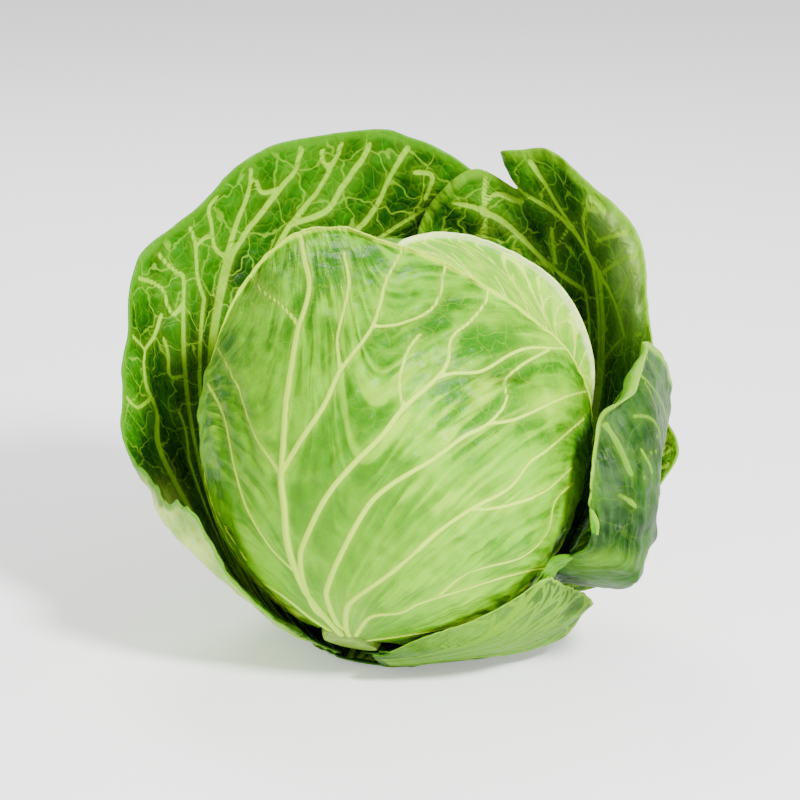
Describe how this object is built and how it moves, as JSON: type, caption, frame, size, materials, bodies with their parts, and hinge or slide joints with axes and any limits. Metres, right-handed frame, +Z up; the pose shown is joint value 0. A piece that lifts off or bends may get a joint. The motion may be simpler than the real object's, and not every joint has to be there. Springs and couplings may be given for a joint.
{
  "type": "cabbage head",
  "caption": "Whole head of green cabbage: a firm ball of tightly wrapped pale leaves with darker, ribbed outer leaves standing loosely round it and a short cut stem.",
  "frame": {"origin": "centre of the head's bounding box in plan, on the surface it rests on", "axes": "+Z up; -Y towards the front, where the large pale wrapper leaf is; +X to the right seen from the front"},
  "size_m": [0.231, 0.202, 0.1994],
  "materials": {
    "heart_leaf": "smooth waxy leaf",
    "stem_flesh": "moist cut flesh, dull",
    "pale_leaf": "glossy waxy leaf with pale ribs",
    "mid_leaf": "waxy leaf with a greyish bloom",
    "dark_leaf": "waxy leaf with pale veins"
  },
  "bodies": {
    "root": {"heart": "heart_leaf", "stem": "stem_flesh", "wrapper_leaf_crown": "pale_leaf", "wrapper_leaf_left": "pale_leaf", "wrapper_leaf_second": "pale_leaf", "wrapper_leaf_front": "pale_leaf", "outer_leaf_right": "dark_leaf", "outer_leaf_side": "mid_leaf", "outer_leaf_low_right": "mid_leaf", "outer_leaf_left": "dark_leaf", "outer_leaf_back": "dark_leaf"}
  },
  "joints": []
}
